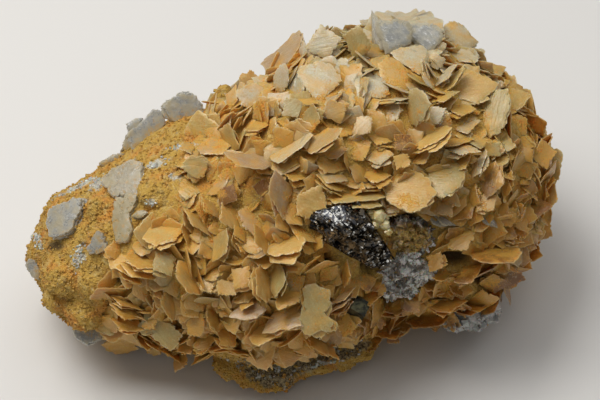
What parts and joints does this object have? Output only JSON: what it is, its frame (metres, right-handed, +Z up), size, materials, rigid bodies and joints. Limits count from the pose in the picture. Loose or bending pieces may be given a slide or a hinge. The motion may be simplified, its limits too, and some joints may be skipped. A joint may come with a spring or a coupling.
{
  "type": "mineral specimen",
  "caption": "Elongated ochre rock crusted with thin calcite blades, with a dark pyrite cluster and a grey druse in the middle, resting on a flat base.",
  "frame": {"origin": "under the middle of the specimen, on the plane of its flat base", "axes": "+X along the specimen's length towards its high right end, +Y to its back, +Z up"},
  "size_m": [0.145, 0.102, 0.0806],
  "materials": {
    "limonite_rock": "granular matte ochre rock",
    "calcite": "satin translucent honey blades dusted with ochre",
    "pyrite": "dark metallic facets with silver glints",
    "pyrite_small": "dark metallic cube",
    "grey_quartz": "glittering grey to brown druse",
    "white_quartz": "glittering white druse",
    "pale_calcite": "satin pale yellow grain",
    "grey_calcite": "translucent grey crystal with satin faces"
  },
  "bodies": {
    "root": {"matrix": "limonite_rock", "calcite_blades": "calcite", "pyrite_cluster": "pyrite", "pyrite_cube": "pyrite_small", "quartz_druse": "grey_quartz", "white_druse": "white_quartz", "pale_grain": "pale_calcite", "grey_tabular_crystal": "grey_calcite", "grey_pointed_crystal": "grey_calcite", "broad_plate": "grey_calcite", "tall_plate": "grey_calcite", "ridge_plate_right": "grey_calcite", "ridge_plate_left": "grey_calcite", "ridge_plates_low": "grey_calcite", "edge_crystal": "grey_calcite", "underside_crystal": "grey_calcite"}
  },
  "joints": []
}
